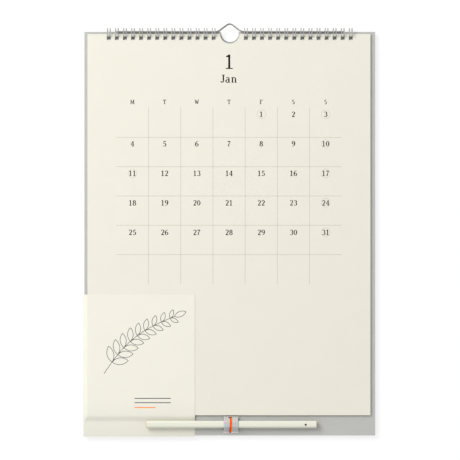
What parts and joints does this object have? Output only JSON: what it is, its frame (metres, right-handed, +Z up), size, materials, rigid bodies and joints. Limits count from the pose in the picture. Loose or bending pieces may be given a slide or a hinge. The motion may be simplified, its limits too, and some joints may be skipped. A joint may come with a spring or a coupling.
{
  "type": "wall calendar",
  "caption": "Wall calendar with a page block on twin wire loops, a wire hanger, a grey backing board and a pencil held by an elastic strap.",
  "frame": {"origin": "where a nail touches the hanger: the inside top of the wire's hump, in the wire's plane", "axes": "+X to the viewer's right, +Y towards the wall, +Z up"},
  "size_m": [0.3068, 0.0126, 0.4341],
  "materials": {
    "grey_board": "matt grey bookbinding board, faintly speckled",
    "cream_paper": "uncoated cream paper, thin grey rules and dark brown numerals",
    "loop_wire": "off-white coated steel wire, satin",
    "hanger_wire": "grey steel wire",
    "pencil_lacquer": "cream lacquer on wood, bare wood at both ends",
    "graphite": "graphite lead",
    "strap_elastic": "grey woven elastic with fine ribs",
    "orange_tape": "orange tape",
    "wrap_paper": "smooth cream paper with a plain grey line design"
  },
  "bodies": {
    "hanger": {"hanger_wire": "hanger_wire"},
    "board": {"backing_board": "grey_board", "twin_loop_left": "loop_wire", "twin_loop_right": "loop_wire", "pencil_strap": "strap_elastic", "orange_band": "orange_tape", "paper_wrap": "wrap_paper"},
    "pages": {"page_block": "cream_paper"},
    "pencil": {"pencil_casing": "pencil_lacquer", "pencil_lead": "graphite"}
  },
  "joints": [
    {"name": "calendar_swing", "type": "hinge", "parent": "hanger", "child": "board", "pos_m": [0, 0, -0.0073], "axis": [-1, 0, 0], "range_deg": [0, 30]},
    {"name": "page_turn", "type": "hinge", "parent": "board", "child": "pages", "pos_m": [0, -0.00015, -0.00795], "axis": [-1, 0, 0], "range_deg": [0, 100], "deforming": ["paper_wrap"]},
    {"name": "pencil_slide", "type": "slide", "parent": "board", "child": "pencil", "axis": [1, 0, 0], "range_m": [-0.075, 0.075]}
  ]
}
